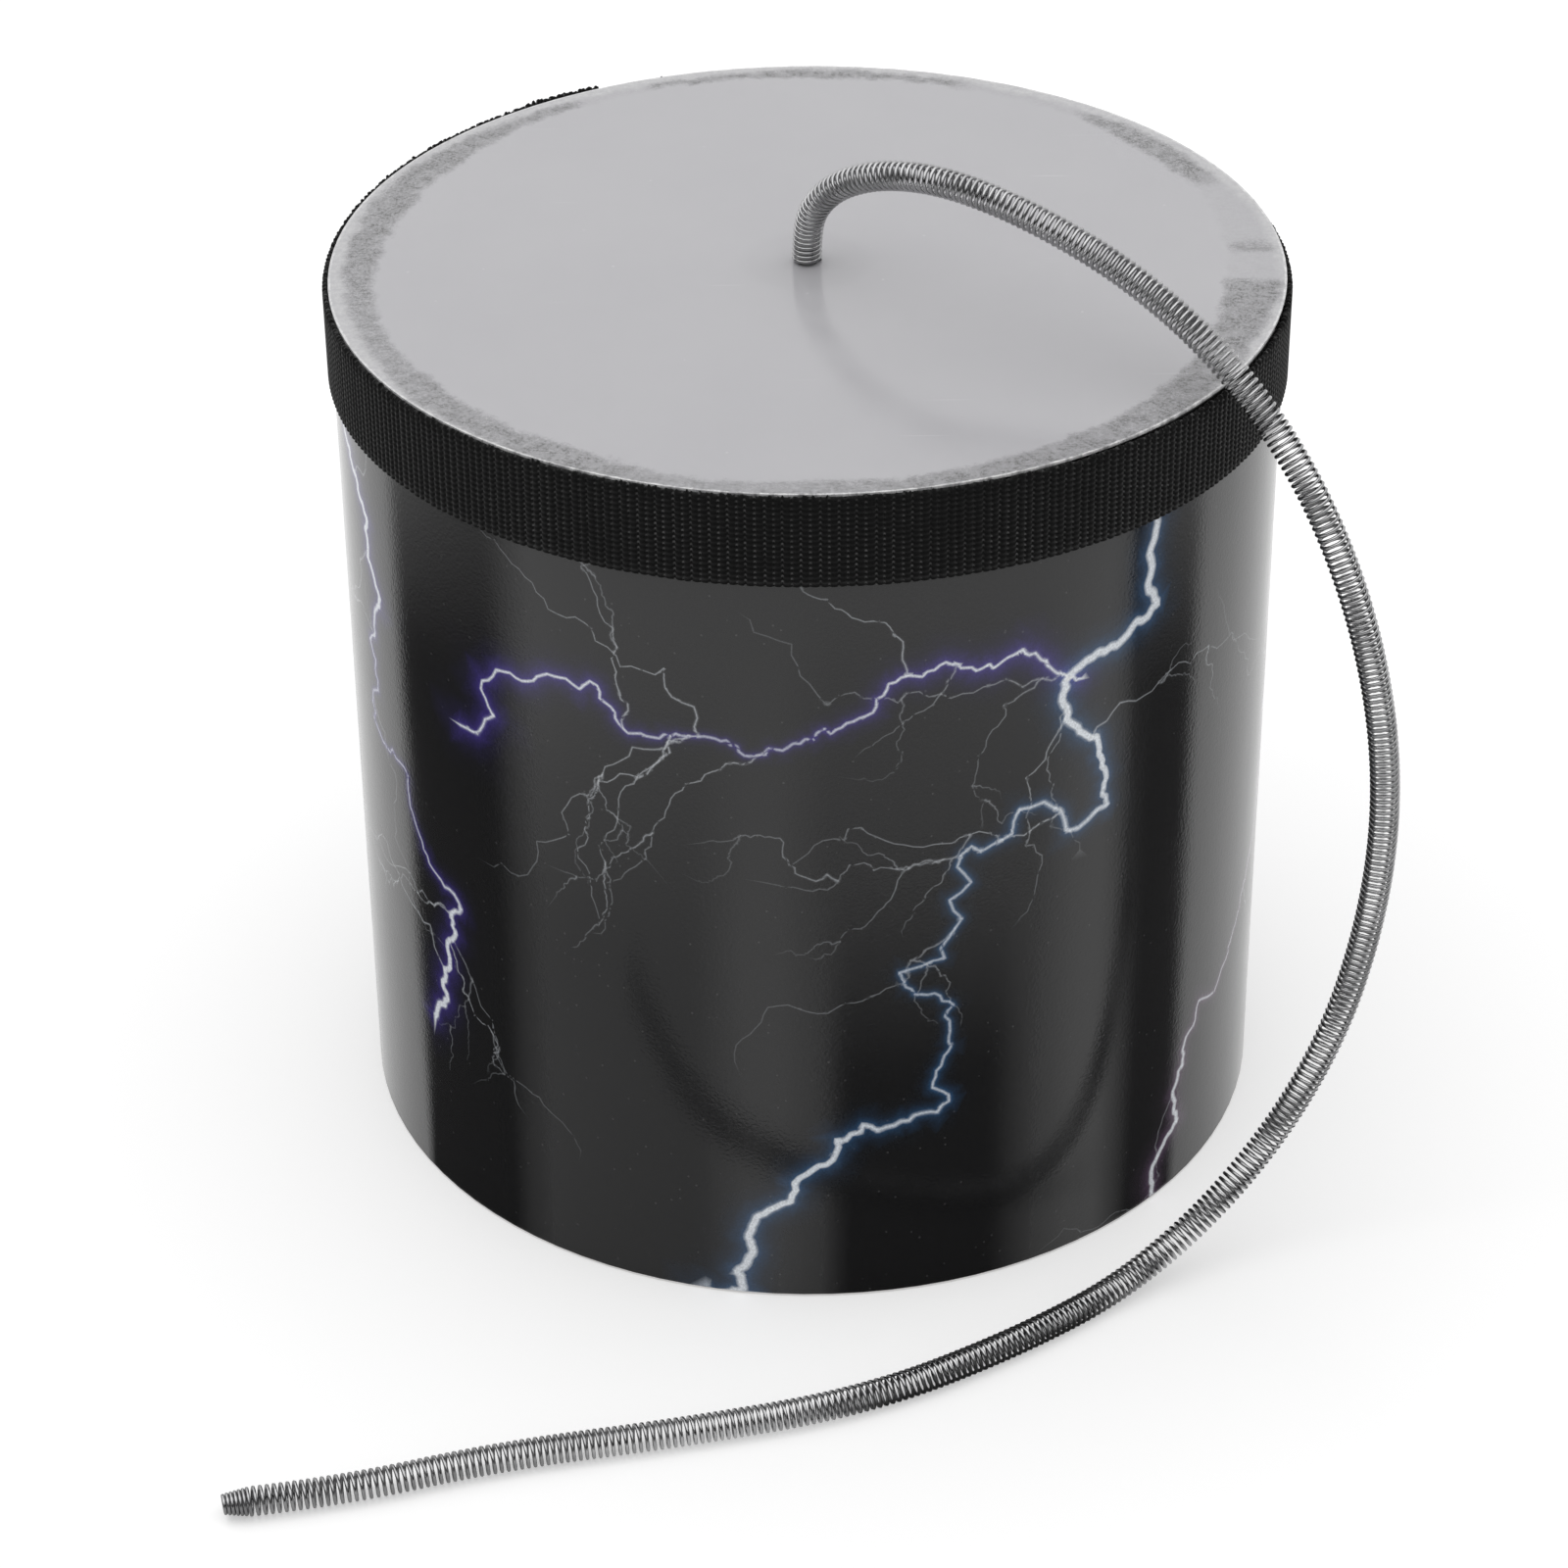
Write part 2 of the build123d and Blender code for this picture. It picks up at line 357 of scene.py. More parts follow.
def film():
    """Milky plastic film, with the glue that holds its edge showing through it as a mottled ring."""
    material, tree, shader, place = new_material(
        "film", IOR=1.5, Subsurface_Weight=0.20, Subsurface_Scale=1.2 * MM, Subsurface_Radius=(1, 1, 1))
    parts = node(tree, "SeparateXYZ", Vector=place).outputs
    flat = node(tree, "CombineXYZ", X=parts["X"], Y=parts["Y"]).outputs[0]
    radius = vector_maths(tree, "LENGTH", flat).outputs["Value"]
    glue, margin = glue_ring(tree, flat, radius)
    colour = film_colour(tree, flat, radius, glue, margin)
    wave = bumped(tree, noise(tree, flat, *FILM_WAVE), WAVE_HEIGHT)
    rub = textured(tree, flat, *FILM_RUB)
    connect(tree, shader,
            Base_Color=film_marks(tree, flat, radius, colour),
            Roughness=maths(tree, "MULTIPLY_ADD", glue, GLUE_ROUGHNESS, rub),
            Normal=bumped(tree, noise(tree, flat, *FILM_GRAIN), FILM_GRAIN_HEIGHT, under=wave))
    return material


# Laminated print: how its paper's grain shades the ink, its dust, and its gloss
PAPER_GRAIN = ((3800, 2), (0.35, 0.7, 0.85, 1.2))
PRINT_DUST = (900, 0.84, 0.05)
PRINT_DUST_PALE = grey(0.9)
PRINT_HAZE = ((55, 3), (*NOISE_RANGE, 0.08, 0.14))
PRINT_WAVE = (70, 2)
PRINT_PEEL = (2200, 2)
PEEL_HEIGHT = 0.02 * MM


def printed_gloss():
    """Laminated print: the ink is on the mesh, under a gloss film with a fine paper grain in it."""
    material, tree, shader, place = new_material("printed_gloss", IOR=1.48)
    ink = vector_maths(tree, "SCALE", attribute(tree, "ink")["Color"])
    tree.links.new(textured(tree, place, *PAPER_GRAIN), ink.inputs["Scale"])
    dust = motes(tree, place, *PRINT_DUST)
    wave = bumped(tree, noise(tree, place, *PRINT_WAVE), WAVE_HEIGHT)
    connect(tree, shader,
            Base_Color=mixed(tree, dust, ink.outputs[0], PRINT_DUST_PALE),
            Roughness=textured(tree, place, *PRINT_HAZE),
            Normal=bumped(tree, noise(tree, place, *PRINT_PEEL), PEEL_HEIGHT, under=wave))
    return material


# Ribbon's weave: where in a valley and on the beat of the threads a dot of thread shows, how far the dots
# are staggered from one valley to the next, and what makes some of them fainter. The dots' pale grey is a
# painted glint of the cross threads.
VALLEY_RANGE = (0.25, 0.55, 1, 0)
BEAT_RANGE = (0.1, 0.8)
DOT_STAGGER = 0.5
DOT_FADING = ((420, 5, 0.8), (0.36, 0.62, 0.15, 1))
DOT_PATCHES = ((38, 2), (0.38, 0.60, 0.25, 1))
DOT_GLINT_GREY = grey(0.13)
RIBBON_FIBRE = (4500, 3)
RIBBON_BLACKS = (grey(0.002), grey(0.007))
RIBBON_ROUGHNESS = (0.5, 0.7)
THREAD_RANGE = (-1, 1, 0, 0.8)
THREAD_HEIGHT = 0.12 * MM
FIBRE_HEIGHT = 0.02 * MM


def wave_of(tree, turns):
    """A sine wave of an output that counts turns."""
    return maths(tree, "SINE", maths(tree, "MULTIPLY", turns, FULL_TURN))


def thread_dots(tree, place, rib, height):
    """Dots of thread in the valleys between the ribs."""
    valley = maths(tree, "ABSOLUTE", maths(tree, "SINE", maths(tree, "MULTIPLY", rib, math.pi)))
    staggered = maths(tree, "MULTIPLY_ADD", maths(tree, "ROUND", rib), DOT_STAGGER, height)
    beat = spread(tree, wave_of(tree, staggered), *BEAT_RANGE)
    dot = maths(tree, "MULTIPLY", spread(tree, valley, *VALLEY_RANGE), beat)
    fading = textured(tree, place, *DOT_FADING)
    patch = textured(tree, place, *DOT_PATCHES)
    return maths(tree, "MULTIPLY", dot, maths(tree, "MULTIPLY", fading, patch))


def grosgrain():
    """Black ribbon. The mesh has the ribs, and this adds the cross threads that dot their valleys, with a
    painted glint in pale grey on them.
    """
    material, tree, shader, place = new_material(
        "grosgrain", Sheen_Weight=0.10, Sheen_Roughness=0.5, Specular_IOR_Level=0.06)
    weave = node(tree, "SeparateXYZ", Vector=attribute(tree, "weave")["Vector"]).outputs
    dot = thread_dots(tree, place, weave["X"], weave["Y"])
    fibre = noise(tree, place, *RIBBON_FIBRE)
    black = mixed(tree, spread(tree, fibre, *NOISE_RANGE), *RIBBON_BLACKS)
    thread = spread(tree, wave_of(tree, weave["Y"]), *THREAD_RANGE)
    cross = bumped(tree, maths(tree, "ADD", dot, thread), THREAD_HEIGHT)
    # The dots' pale grey is a painted glint of the cross threads on the black.
    connect(tree, shader,
            Base_Color=mixed(tree, dot, black, DOT_GLINT_GREY),
            Roughness=spread(tree, fibre, *NOISE_RANGE, *RIBBON_ROUGHNESS),
            Normal=bumped(tree, fibre, FIBRE_HEIGHT, under=cross))
    return material


# Card: how far its strips climb in one turn, where in a strip its joint shows, its flecks, which are drawn
# out along the tube, and their colours
STRIP_RISE = 85 * MM
STRIP_MIDDLE = 0.5
JOINT_RANGE = (0.490, 0.497)
JOINT_SHARE = 0.6
JOINT_BROWN = (0.13, 0.09, 0.06)
CARD_FLECK = (1400, 6, 0.7)
FLECK_SHAPE = (1, 1, 0.25)
CARD_BROWNS = ((0.25, 0.175, 0.115), (0.36, 0.27, 0.19))
CARD_RELIEF = 0.06 * MM


def kraft_card():
    """Spiral-wound grey-brown card, with the slanting joints of its strips."""
    material, tree, shader, place = new_material("kraft_card", Roughness=0.85)
    parts = node(tree, "SeparateXYZ", Vector=place).outputs
    turn = maths(tree, "DIVIDE", maths(tree, "ARCTAN2", parts["Y"], parts["X"]), FULL_TURN)
    strip = maths(tree, "FRACT", maths(tree, "ADD", turn, maths(tree, "DIVIDE", parts["Z"], STRIP_RISE)))
    off_middle = maths(tree, "ABSOLUTE", maths(tree, "SUBTRACT", strip, STRIP_MIDDLE))
    joint = spread(tree, off_middle, *JOINT_RANGE)
    fibres = node(tree, "Mapping", Vector=place, Scale=FLECK_SHAPE).outputs[0]
    fleck = noise(tree, fibres, *CARD_FLECK)
    colour = mixed(tree, spread(tree, fleck, *NOISE_RANGE), *CARD_BROWNS)
    connect(tree, shader,
            Base_Color=mixed(tree, maths(tree, "MULTIPLY", joint, JOINT_SHARE), colour, JOINT_BROWN),
            Normal=bumped(tree, maths(tree, "SUBTRACT", fleck, joint), CARD_RELIEF))
    return material


# Pieces

def mesh_object(name, points, faces, material):
    """A new mesh object in the scene."""
    mesh = bpy.data.meshes.new(name)
    mesh.from_pydata([tuple(point) for point in points], [], faces)
    mesh.materials.append(material)
    made = bpy.data.objects.new(name, mesh)
    bpy.context.collection.objects.link(made)
    return made


def mesh_piece(name, points, faces, material, body):
    """A new smooth mesh object that rides on a body of the frame."""
    piece = mesh_object(name, points, faces, material)
    mesh = piece.data
    mesh.polygons.foreach_set("use_smooth", [True] * len(mesh.polygons))
    mesh.update()
    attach(piece, body)
    return piece


def dress(node_name, material):
    """Gives a solid of the frame its finished material."""
    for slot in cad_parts[node_name].material_slots:
        slot.material = material


def swept_faces(sides, steps, flip=False):
    """Faces of a section with so many sides, swept along so many steps, and of its two ends."""
    faces = []
    for step in range(steps):
        first = step * sides
        for side in range(sides):
            here = first + side
            beside = first + (side + 1) % sides
            faces.append((here, beside, beside + sides, here + sides))
    last = steps * sides
    ends = [tuple(reversed(range(sides))), tuple(range(last, last + sides))]
    if flip:
        faces = [(a, d, c, b) for a, b, c, d in faces]
        ends = [end[::-1] for end in ends]
    return faces + ends


def unit_rows(vectors):
    """The same directions, each of length 1."""
    return vectors / np.maximum(np.linalg.norm(vectors, axis=1), TINY)[:, None]


def run_along(line):
    """Distance along a line at each of its points."""
    steps = np.linalg.norm(np.diff(line, axis=0), axis=1)
    return np.concatenate([[0], np.cumsum(steps)])


def along(line, values, distances):
    """Values kept at the points of a line, read at distances along it."""
    run = run_along(line)
    return np.stack([np.interp(distances, run, column) for column in values.T], axis=1)


# Spring: its real wire and turns. They open out over its foot and close up within an eighth of its tip.
SPRING_DIAMETER = 4.0 * MM
WIRE_DIAMETER = 0.50 * MM
FOOT_PITCH = 0.66 * MM
FOOT_LENGTH = 12 * MM
SPRING_PITCH = 0.89 * MM
TIP_LENGTH = 3.5 * MM
TIP_PITCH = 0.52 * MM
TIP_DIAMETER = 2.8 * MM
TIP_CLOSING = 8
POINTS_PER_TURN = 14
WIRE_SIDES = 7

# Slow waves in its pitch: how many, how large as a share of it, and their least and most radians per metre
PITCH_SEED = 11
PITCH_WAVES = 6
PITCH_SWAY = 0.012
PITCH_RADIANS = (40, 400)

# Its route, as in the solid model: out of the head, over the rim, down beside the tube and along the floor
SPRING_START = HEAD_TOP + 0.25 * MM
FLOOR_LINE = 2.1 * MM
ROUTE = [
    (0, 0, SPRING_START),
    (0, 0, SPRING_START + 0.0042),
    (0.0011, -0.0012, 0.1334),
    (0.0046, -0.0044, 0.138),
    (0.0104, -0.009, 0.1414),
    (0.0182, -0.0146, 0.1428),
    (0.0285, -0.0216, 0.1414),
    (0.041, -0.0305, 0.1372),
    (0.053, -0.0405, 0.1296),
    (0.0635, -0.0475, 0.1155),
    (0.071, -0.05, 0.096),
    (0.075, -0.0495, 0.074),
    (0.0745, -0.0485, 0.052),
    (0.0695, -0.0495, 0.0305),
    (0.0585, -0.054, 0.0125),
    (0.0435, -0.063, FLOOR_LINE),
    (0.027, -0.076, FLOOR_LINE),
    (0.007, -0.0875, FLOOR_LINE),
    (-0.0165, -0.0935, FLOOR_LINE),
    (-0.0405, -0.098, FLOOR_LINE),
    (-0.062, -0.105, FLOOR_LINE),
    (-0.0755, -0.107, FLOOR_LINE),
]
ROUTE_STEPS = 24


def route_line():
    """Points along the spring's middle line, read from a smooth curve on the route."""
    curve = bpy.data.curves.new("spring_route", "CURVE")
    curve.dimensions = "3D"
    curve.resolution_u = ROUTE_STEPS
    spline = curve.splines.new("NURBS")
    spline.points.add(len(ROUTE) - 1)
    for control, place in zip(spline.points, ROUTE):
        control.co = (*place, 1)
    spline.order_u = 3
    spline.use_endpoint_u = True
    carrier = bpy.data.objects.new("spring_route", curve)
    mesh = bpy.data.meshes.new_from_object(carrier)
    line = np.array([vertex.co[:] for vertex in mesh.vertices])
    bpy.data.objects.remove(carrier)
    bpy.data.curves.remove(curve)
    bpy.data.meshes.remove(mesh)
    return line


def carried_frames(line):
    """Directions along a line, and one sideways direction carried along it without twist."""
    ahead = unit_rows(np.gradient(line, axis=0))
    side = np.array([1.0, 0.0, 0.0])
    sides = []
    for direction in ahead:
        side = side - direction * side.dot(direction)
        side = side / np.linalg.norm(side)
        sides.append(side)
    return ahead, np.array(sides)


def winding(length):
    """Distance along the spring, coil radius and angle at each point of the wire."""
    rng = random.Random(PITCH_SEED)
    waves = [(rng.uniform(*PITCH_RADIANS), rng.uniform(0, FULL_TURN)) for _ in range(PITCH_WAVES)]
    tip_start = length - TIP_LENGTH
    distance, angle, found = 0.0, 0.0, []
    while distance < length:
        opened = min(1, distance / FOOT_LENGTH)
        pitch = FOOT_PITCH + (SPRING_PITCH - FOOT_PITCH) * opened
        pitch *= 1 + sum(PITCH_SWAY * math.sin(distance * wave + start) for wave, start in waves)
        share = max(0, (distance - tip_start) / TIP_LENGTH)
        pitch += (TIP_PITCH - pitch) * min(1, TIP_CLOSING * share)
        outside = SPRING_DIAMETER + (TIP_DIAMETER - SPRING_DIAMETER) * share
        found.append((distance, (outside - WIRE_DIAMETER) / 2, angle))
        distance += pitch / POINTS_PER_TURN
        angle += FULL_TURN / POINTS_PER_TURN
    return np.array(found)


def wire_line(line, length):
    """Points along the middle of the wire, and the directions there out of the coil."""
    ahead, sides = carried_frames(line)
    distance, radius, angle = winding(length).T
    axis = unit_rows(along(line, ahead, distance))
    side = along(line, sides, distance)
    across = np.cross(axis, side)
    out = side * np.cos(angle)[:, None] + across * np.sin(angle)[:, None]
    return along(line, line, distance) + out * radius[:, None], out


def wire_points(wire, out):
    """Points of a round section at each point of the wire."""
    forward = unit_rows(np.gradient(wire, axis=0))
    up = unit_rows(np.cross(forward, out))
    lean = np.cross(up, forward)
    rows = []
    for side in range(WIRE_SIDES):
        turn = FULL_TURN * side / WIRE_SIDES
        rows.append(wire + (lean * math.cos(turn) + up * math.sin(turn)) * WIRE_DIAMETER / 2)
    return np.stack(rows, axis=1).reshape(-1, 3)


def make_spring():
    """The wire of the coil spring, wound along the route."""
    line = route_line()
    length = np.linalg.norm(np.diff(line, axis=0), axis=1).sum()
    wire, out = wire_line(line, length)
    faces = swept_faces(WIRE_SIDES, len(wire) - 1)
    piece = mesh_piece("coil_spring", wire_points(wire, out), faces, wire_steel(), "spring_assembly")
    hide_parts("spring")


# Ribbon: it starts at the angle of its free end, which lies on its other end for the length of the lap and
# comes down to the sheet over the ramp
RIBBON_WIDTH = 12.7 * MM
RIBBON_THICKNESS = 0.7 * MM
RIBBON_LAP_GAP = 0.08 * MM
RIBBON_BORE = RIBBON_OUTER - RIBBON_THICKNESS
RIBBON_END_ANGLE = 117.5
RIBBON_LAP = 9.0 * MM
RIBBON_RAMP = 5.0 * MM
RIBBON_ROUNDING = 0.22 * MM
RIBBON_ROWS = 9
LAP_ANGLE = RIBBON_END_ANGLE + math.degrees(RIBBON_LAP / RIBBON_BORE)
FOOT_ANGLE = LAP_ANGLE + math.degrees(RIBBON_RAMP / RIBBON_BORE)
RIBBON_SPAN = LAP_ANGLE + 360 - RIBBON_END_ANGLE
RIBBON_LENGTH = math.radians(RIBBON_SPAN) * RIBBON_BORE

# Height of the ribbon's upper edge over the head, in millimetres, at angles from its free end on: it was
# put on a little askew. The height is evened out over the ease, in degrees.
RIBBON_WANDER = [
    (117, -0.18), (128, 0.10), (140, 0.10), (150, -0.05), (165, -0.22), (185, -0.24), (205, -0.10),
    (240, -0.04), (268, -0.02), (290, -0.16), (318, -0.62), (345, -0.95), (400, -0.90), (487, -0.40),
]
WANDER_EASE = 5.0

# Ribs of the weave, no two quite alike, and the fibres that stand up along the upper edge
RIBBON_SEED = 5
RIB_PITCH = 1.12 * MM
RIB_DEPTH = 0.26 * MM
RIB_COLUMNS = 8
RIB_ROUNDNESS = 0.7
RIB_SHIFT = 0.05
EDGE_LOOP = 0.04 * MM
EDGE_WAVER = 0.03 * MM
FUZZ_HEIGHT = 0.13 * MM
FUZZ_COLUMNS = 2
THREAD_PITCH = 0.75 * MM
RIBS = round(RIBBON_LENGTH / RIB_PITCH)
COLUMNS = RIBS * RIB_COLUMNS


def ribbon_climb(angle):
    """How far the ribbon stands off the sheet on account of its lap."""
    share = min(1, max(0, (FOOT_ANGLE - angle) / (FOOT_ANGLE - LAP_ANGLE)))
    return (RIBBON_THICKNESS + RIBBON_LAP_GAP) * share * share * (3 - 2 * share)


def ribbon_height(angle):
    """Height of the ribbon's upper edge at an angle."""
    near = (angle - WANDER_EASE, angle, angle + WANDER_EASE)
    return HEAD_TOP + float(np.interp(near, *zip(*RIBBON_WANDER)).mean()) * MM


def ribbon_section(bore, face, low, high):
    """Radius and height of each point round the ribbon's cross section."""
    middle = (bore + face) / 2
    heights = np.linspace(low + RIBBON_ROUNDING, high - RIBBON_ROUNDING, RIBBON_ROWS)
    section = [(bore, low + RIBBON_ROUNDING), (middle, low)]
    section += [(face, float(height)) for height in heights]
    return section + [(middle, high), (bore, high - RIBBON_ROUNDING)]


def ribbon_quirks():
    """Shift of each valley, waver of the lower edge there, and fuzz along the upper edge."""
    rng = random.Random(RIBBON_SEED)
    shift = [0] + [rng.gauss(0, RIB_SHIFT) for _ in range(RIBS - 1)] + [0]
    waver = [rng.gauss(0, EDGE_WAVER) for _ in range(RIBS + 1)]
    fuzz = [rng.gauss(0, FUZZ_HEIGHT) for _ in range(COLUMNS // FUZZ_COLUMNS + 1)]
    return shift, waver, fuzz


def ribbon_points():
    """Points of the ribbon, section by section, and the rib and thread at each of them."""
    shift, waver, fuzz = ribbon_quirks()
    valleys = np.arange(RIBS + 1)
    points, weave = [], []
    for column in range(COLUMNS + 1):
        rib = column / RIB_COLUMNS
        angle = RIBBON_END_ANGLE + RIBBON_SPAN * (rib + np.interp(rib, valleys, shift)) / RIBS
        swell = abs(math.sin(math.pi * rib)) ** RIB_ROUNDNESS
        bore = RIBBON_BORE + ribbon_climb(angle)
        face = bore + RIBBON_THICKNESS - RIB_DEPTH * (1 - swell)
        high = ribbon_height(angle)
        low = high - RIBBON_WIDTH + EDGE_LOOP * (1 - swell) + np.interp(rib, valleys, waver)
        high += fuzz[column // FUZZ_COLUMNS] - EDGE_LOOP * (1 - swell)
        across = Vector((*cos_sin(angle), 0))
        for radius, height in ribbon_section(bore, face, low, high):
            points.append(across * radius + Vector((0, 0, height)))
            weave.append((rib, (height - low) / THREAD_PITCH, 0))
    return points, weave


def make_ribbon():
    """Grosgrain ribbon wound once round the edge of the head, its free end lapped on its first end."""
    points, weave = ribbon_points()
    faces = swept_faces(len(points) // (COLUMNS + 1), COLUMNS, flip=True)
    piece = mesh_piece("edge_ribbon", points, faces, grosgrain(), "drum")
    kept = piece.data.attributes.new("weave", "FLOAT_VECTOR", "POINT")
    kept.data.foreach_set("vector", [number for place in weave for number in place])
    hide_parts("trim_ribbon")


# Printed sheet. Its ends meet at the back. Places on it are millimetres round from there and up.
SEAM_ANGLE = 78.0
SEAM_GAP = 0.4 * MM
SHEET_THICKNESS = 0.3 * MM
SHEET_WIDTH = (FULL_TURN * SHEET_RADIUS - SEAM_GAP) / MM
SHEET_FOOT = SHEET_LOW.z / MM
SHEET_TOP = SHEET_HIGH.z / MM
INK_BLACK = np.array([0.012, 0.012, 0.0125])
PAPER_WHITE = 0.55
WHITE_INK = np.array([0.86, 0.90, 0.95])
BLUE_GLOW = np.array([0.025, 0.095, 0.22])
VIOLET_GLOW = np.array([0.05, 0.03, 0.24])
ROSE_GLOW = np.array([0.12, 0.07, 0.13])

# Strokes of lightning drawn for this sheet: places that each one passes, its half width and its glow
BOLTS = [
    ([(263, 114), (247, 93), (254, 71), (224, 53), (231, 31), (206, 14), (198, 0)], 0.62, BLUE_GLOW),
    ([(127, 114), (143, 90), (137, 71), (160, 50), (152, 28)], 0.50, VIOLET_GLOW),
    ([(326, 72), (301, 61), (293, 38), (272, 22), (266, 0)], 0.48, ROSE_GLOW),
    ([(249, 92), (229, 99), (206, 87), (185, 94), (162, 80)], 0.26, VIOLET_GLOW),
    ([(38, 114), (61, 82), (47, 52), (72, 22), (66, 0)], 0.55, BLUE_GLOW),
    ([(372, 114), (350, 76), (366, 44), (349, 12)], 0.48, VIOLET_GLOW),
]
BOLT_SEED = 23
BOLT_SWAY = 0.15
JAG_LEVELS = 5

# Twigs of a bolt: their number, reach, light, levels of forks, half width and sway, the points along it from
# which their heading is read, their turn, shares of reach and light, and the heights between which they end
TWIG_COUNT = 9
TWIG_REACH = 44
TWIG_LIGHT = 0.55
TWIG_FORKS = 2
TWIG_HALF_WIDTH = 0.15
TWIG_SWAY = 0.13
TWIG_LOOK = 2
TWIG_TURN = (22, 75)
TWIG_SHARES = (0.35, 1.0)
TWIG_LIGHTS = (0.5, 1)
TWIG_HEIGHTS = (1, 118)

# Forks of a twig: fewer than this, and their reach and light as shares of the twig's
FORKS_BELOW = 3
FORK_REACH = 0.5
FORK_LIGHT = 0.7


def jagged(start, end, sway, rng):
    """Points from start to end, each middle thrown to one side by a share of its span."""
    points = [np.array(start, float), np.array(end, float)]
    for _ in range(JAG_LEVELS):
        finer = [points[0]]
        for here, there in zip(points, points[1:]):
            span = there - here
            aside = np.array([-span[1], span[0]])
            finer += [(here + there) / 2 + aside * rng.gauss(0, sway), there]
        points = finer
    return points


def turned(direction, degrees):
    """A direction turned on the sheet."""
    c, s = cos_sin(degrees)
    return np.array([c * direction[0] - s * direction[1], s * direction[0] + c * direction[1]])


def twigs(trunk, count, reach, light, rng, forks):
    """Thin strokes that leave a trunk, and shorter, fainter ones that leave those."""
    strokes = []
    for _ in range(count):
        index = rng.randrange(TWIG_LOOK, len(trunk) - TWIG_LOOK - 1)
        heading = trunk[index + TWIG_LOOK] - trunk[index - TWIG_LOOK]
        heading = turned(heading / np.linalg.norm(heading), rng.choice((-1, 1)) * rng.uniform(*TWIG_TURN))
        end = trunk[index] + heading * reach * rng.uniform(*TWIG_SHARES)
        if not TWIG_HEIGHTS[0] < end[1] < TWIG_HEIGHTS[1]:
            continue
        line = jagged(trunk[index], end, TWIG_SWAY, rng)
        strokes.append((np.array(line), TWIG_HALF_WIDTH, light * rng.uniform(*TWIG_LIGHTS), None))
        if forks:
            number = rng.randrange(0, FORKS_BELOW)
            strokes += twigs(line, number, reach * FORK_REACH, light * FORK_LIGHT, rng, forks - 1)
    return strokes


def lightning():
    """All the strokes on the sheet: line, half width, and a twig's light or a bolt's glow."""
    rng = random.Random(BOLT_SEED)
    strokes = []
    for places, width, glow in BOLTS:
        trunk = [np.array(places[0], float)]
        for here, there in zip(places, places[1:]):
            trunk += jagged(here, there, BOLT_SWAY, rng)[1:]
        strokes.append((np.array(trunk), width, None, glow))
        strokes += twigs(trunk, TWIG_COUNT, TWIG_REACH, TWIG_LIGHT, rng, TWIG_FORKS)
    return strokes


# Ink of a twig: its width at the start and the loss of width and light to its end, and how crisp it is
TWIG_START = 1.1
TWIG_TAPER = 0.6
TWIG_FADE = 0.75
TWIG_CRISP = 1.6

# Ink of a bolt: its swell along its way, what its light has over that, how crisp it is, the half widths out
# at which its halo starts, how fast that falls off and how far it goes, and how far off ink is looked for
SWELL_MEAN = 0.75
SWELL_SWAY = 0.45
SWELL_RADIANS = 7
SWELL_START = 1
SWELL_BRIGHT = 0.25
BOLT_CRISP = 2.0
HALO_START = 0.5
HALO_FALL = 1.15
HALO_REACH = 8
INK_REACH = 9


def closest(points, line):
    """Distance from points to a polyline, and how far along it, from 0 to 1, the nearest place is."""
    starts = line[:-1]
    spans = np.diff(line, axis=0)
    lengths = np.maximum((spans ** 2).sum(axis=1), TINY)
    offset = points[:, None, :] - starts[None]
    share = np.clip((offset * spans[None]).sum(axis=2) / lengths, 0, 1)
    gap = np.linalg.norm(offset - share[:, :, None] * spans[None], axis=2)
    nearest = gap.argmin(axis=1)
    return gap.min(axis=1), (nearest + share[np.arange(len(points)), nearest]) / len(spans)


def twig_paint(width, light, gap, share):
    """Paint of a twig, which thins and fades along its way."""
    width = width * (TWIG_START - TWIG_TAPER * share)
    light = light * (1 - TWIG_FADE * share)
    core = np.clip(TWIG_CRISP - TWIG_CRISP * gap / width, 0, 1) * light
    return core[:, None] * WHITE_INK


def bolt_paint(width, glow, gap, share):
    """Paint of a bolt: a white core that swells and thins along its way, in a halo of its own colour."""
    swell = SWELL_MEAN + SWELL_SWAY * np.sin(SWELL_RADIANS * share + SWELL_START)
    width = width * swell
    core = np.clip(BOLT_CRISP - BOLT_CRISP * gap / width, 0, 1) * np.clip(SWELL_BRIGHT + swell, 0, 1)
    halo = np.exp(-np.maximum(0, gap - width * HALO_START) / (HALO_FALL * swell))
    halo = halo * np.clip(1 - gap / HALO_REACH, 0, 1)
    return 1 - (1 - core[:, None] * WHITE_INK) * (1 - halo[:, None] * glow)


def ink_on(points, strokes):
    """Colour of the print at points of the sheet."""
    dark = np.ones((len(points), 3)) - INK_BLACK
    for line, width, light, glow in strokes:
        near = (points > line.min(axis=0) - INK_REACH) & (points < line.max(axis=0) + INK_REACH)
        near = near.all(axis=1)
        if not near.any():
            continue
        gap, share = closest(points[near], line)
        if glow is None:
            dark[near] *= 1 - twig_paint(width, light, gap, share)
        else:
            dark[near] *= 1 - bolt_paint(width, glow, gap, share)
    return 1 - dark


# Points of the sheet, in millimetres: step of a plain grid, distances of the rows beside a twig and a bolt,
# step along a row, the distance from which only every third step counts, and the least gap
GRID_STEP = 4.0
TWIG_ROWS = (0, 0.14, 0.32)
BOLT_ROWS = (0, 0.3, 0.55, 0.85, 1.5, 2.8, 5.0)
ROW_STEP = 0.7
FAR_ROW = 1
FAR_ROW_SKIP = 3
LEAST_GAP = 0.06
SAME_PLACE = 1e-6


def sheet_grid():
    """Places of a plain grid over the sheet."""
    across = np.linspace(0, SHEET_WIDTH, round(SHEET_WIDTH / GRID_STEP) + 1)
    heights = np.linspace(SHEET_FOOT, SHEET_TOP, round((SHEET_TOP - SHEET_FOOT) / GRID_STEP) + 1)
    return [(x, height) for height in heights for x in across]


